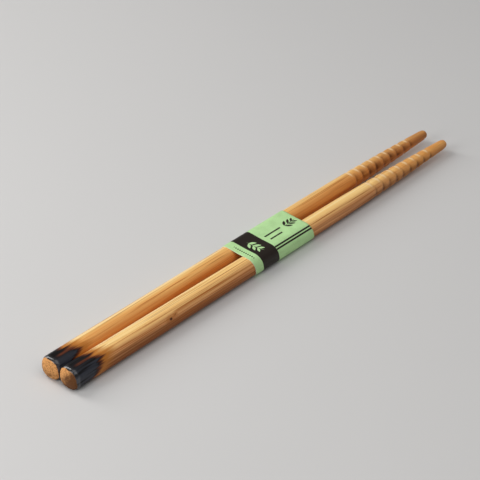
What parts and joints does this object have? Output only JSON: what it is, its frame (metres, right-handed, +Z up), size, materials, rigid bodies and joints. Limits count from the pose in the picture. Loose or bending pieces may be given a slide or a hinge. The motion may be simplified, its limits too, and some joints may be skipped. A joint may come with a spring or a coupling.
{
  "type": "pair of chopsticks",
  "caption": "Bamboo chopsticks with square scorched handles and ring-grooved round tips, lying side by side in a glued paper band.",
  "frame": {"origin": "on the surface that the pair lies on, under the middle of its bounding box", "axes": "+X along the sticks from the handle ends to the tips, +Y towards the left stick, +Z up"},
  "size_m": [0.225, 0.0194, 0.0096],
  "materials": {
    "honey_bamboo": "satin oiled bamboo, scorched black at the handle end",
    "pale_bamboo": "satin oiled bamboo, scorched black at the handle end",
    "printed_paper": "matt coated paper, pale green with a dark brown field"
  },
  "bodies": {
    "root": {"left_chopstick": "honey_bamboo", "right_chopstick": "pale_bamboo", "paper_band": "printed_paper"}
  },
  "joints": []
}
